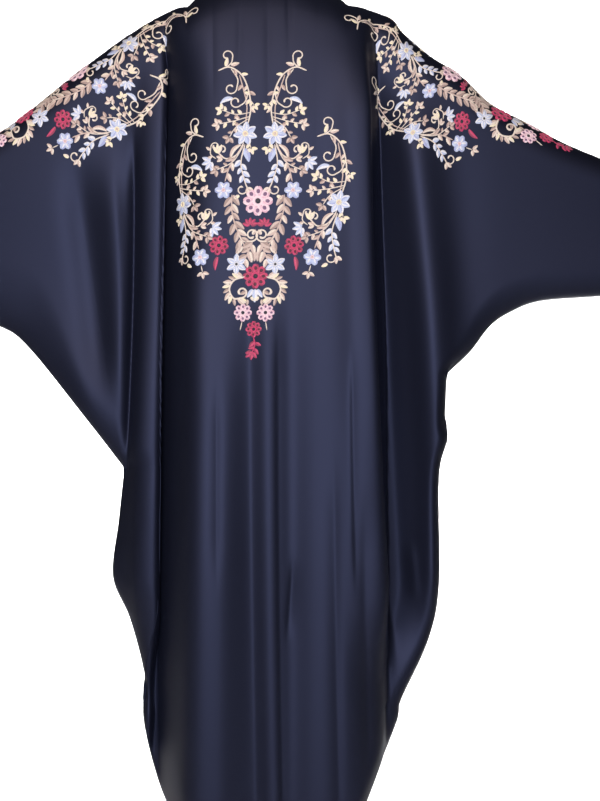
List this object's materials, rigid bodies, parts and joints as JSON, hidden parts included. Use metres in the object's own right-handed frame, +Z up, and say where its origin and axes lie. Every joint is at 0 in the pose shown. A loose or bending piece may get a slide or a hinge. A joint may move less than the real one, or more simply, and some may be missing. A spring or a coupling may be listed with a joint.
{
  "type": "embroidered batwing abaya cloak",
  "caption": "Worn floor-length batwing cloak with arms held out, cut in one with its sleeves, open front, falling in long folds",
  "frame": {"origin": "midway between the two neck points, at the height where the cloak rests on the wearer's shoulders", "axes": "+Z up the wearer, +Y towards the wearer's front, +X towards the wearer's right"},
  "size_m": [1.456, 0.2895, 1.48],
  "materials": {
    "back": "navy satin crepe",
    "front_left": "navy satin crepe",
    "front_right": "navy satin crepe"
  },
  "bodies": {
    "root": {"back": "back", "front_left": "front_left", "front_right": "front_right"}
  },
  "joints": []
}
